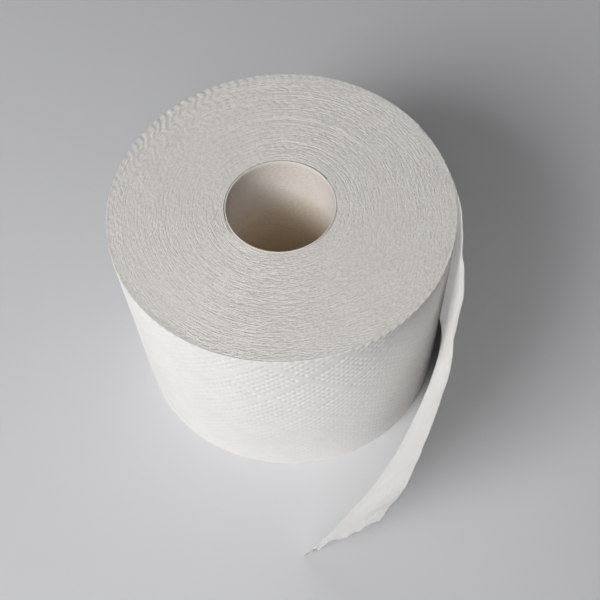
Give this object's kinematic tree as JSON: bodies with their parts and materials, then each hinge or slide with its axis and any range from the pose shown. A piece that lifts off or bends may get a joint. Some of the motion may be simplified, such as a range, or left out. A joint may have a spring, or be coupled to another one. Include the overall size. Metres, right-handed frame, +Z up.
{
  "type": "toilet paper roll",
  "caption": "Standing roll of white embossed tissue wound on a cardboard tube, with its torn free end peeled off and standing on edge beside the roll.",
  "frame": {"origin": "on the axis of the core's bore, at the surface that the roll stands on", "axes": "+Z up along the core's axis. The free end leaves the roll near +X and trails clockwise, seen from above, to the front at -Y."},
  "size_m": [0.1374, 0.1889, 0.1],
  "materials": {
    "tissue": "soft white tissue, embossed with dots in diamonds",
    "cardboard": "bare grey-brown board, spirally wound"
  },
  "bodies": {
    "root": {"paper": "tissue", "core": "cardboard"}
  },
  "joints": []
}
